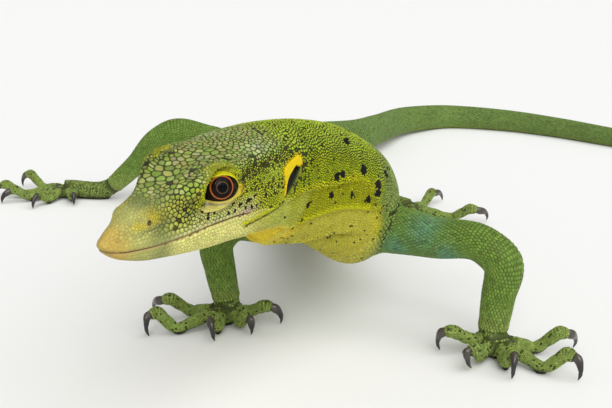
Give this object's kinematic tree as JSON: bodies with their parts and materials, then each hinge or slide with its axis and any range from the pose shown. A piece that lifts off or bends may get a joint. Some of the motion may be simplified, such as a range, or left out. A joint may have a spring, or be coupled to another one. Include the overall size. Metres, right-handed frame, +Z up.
{
  "type": "emerald tree monitor lizard model",
  "caption": "Life-size still model of a slender green tree monitor standing low with raised head, spread clawed feet and a long tapering tail laid in a curve on the floor.",
  "frame": {"origin": "on the floor, under the middle of the whole animal's bounding box", "axes": "+Z up from the floor the animal stands on; +Y from the head towards the tail's root; +X towards the animal's left, the way its tail is laid"},
  "size_m": [0.475, 0.3348, 0.0591],
  "materials": {
    "skin": "satin scaled skin, emerald green, yellower on the throat",
    "eye": "glossy dark eye with an orange ring",
    "claw": "black brown horn, half gloss"
  },
  "bodies": {
    "root": {"head": "skin", "lower_jaw": "skin", "neck": "skin", "torso": "skin", "tail_1": "skin", "tail_2": "skin", "tail_3": "skin", "tail_4": "skin", "tail_5": "skin", "tail_6": "skin", "upper_arm_left": "skin", "forearm_left": "skin", "hand_left": "skin", "thigh_left": "skin", "shin_left": "skin", "foot_left": "skin", "upper_arm_right": "skin", "forearm_right": "skin", "hand_right": "skin", "thigh_right": "skin", "shin_right": "skin", "foot_right": "skin", "eye_left": "eye", "eye_right": "eye", "claw_hand_left_1": "claw", "claw_hand_left_2": "claw", "claw_hand_left_3": "claw", "claw_hand_left_4": "claw", "claw_hand_left_5": "claw", "claw_hand_right_1": "claw", "claw_hand_right_2": "claw", "claw_hand_right_3": "claw", "claw_hand_right_4": "claw", "claw_hand_right_5": "claw", "claw_foot_left_1": "claw", "claw_foot_left_2": "claw", "claw_foot_left_3": "claw", "claw_foot_left_4": "claw", "claw_foot_left_5": "claw", "claw_foot_right_1": "claw", "claw_foot_right_2": "claw", "claw_foot_right_3": "claw", "claw_foot_right_4": "claw", "claw_foot_right_5": "claw"}
  },
  "joints": []
}
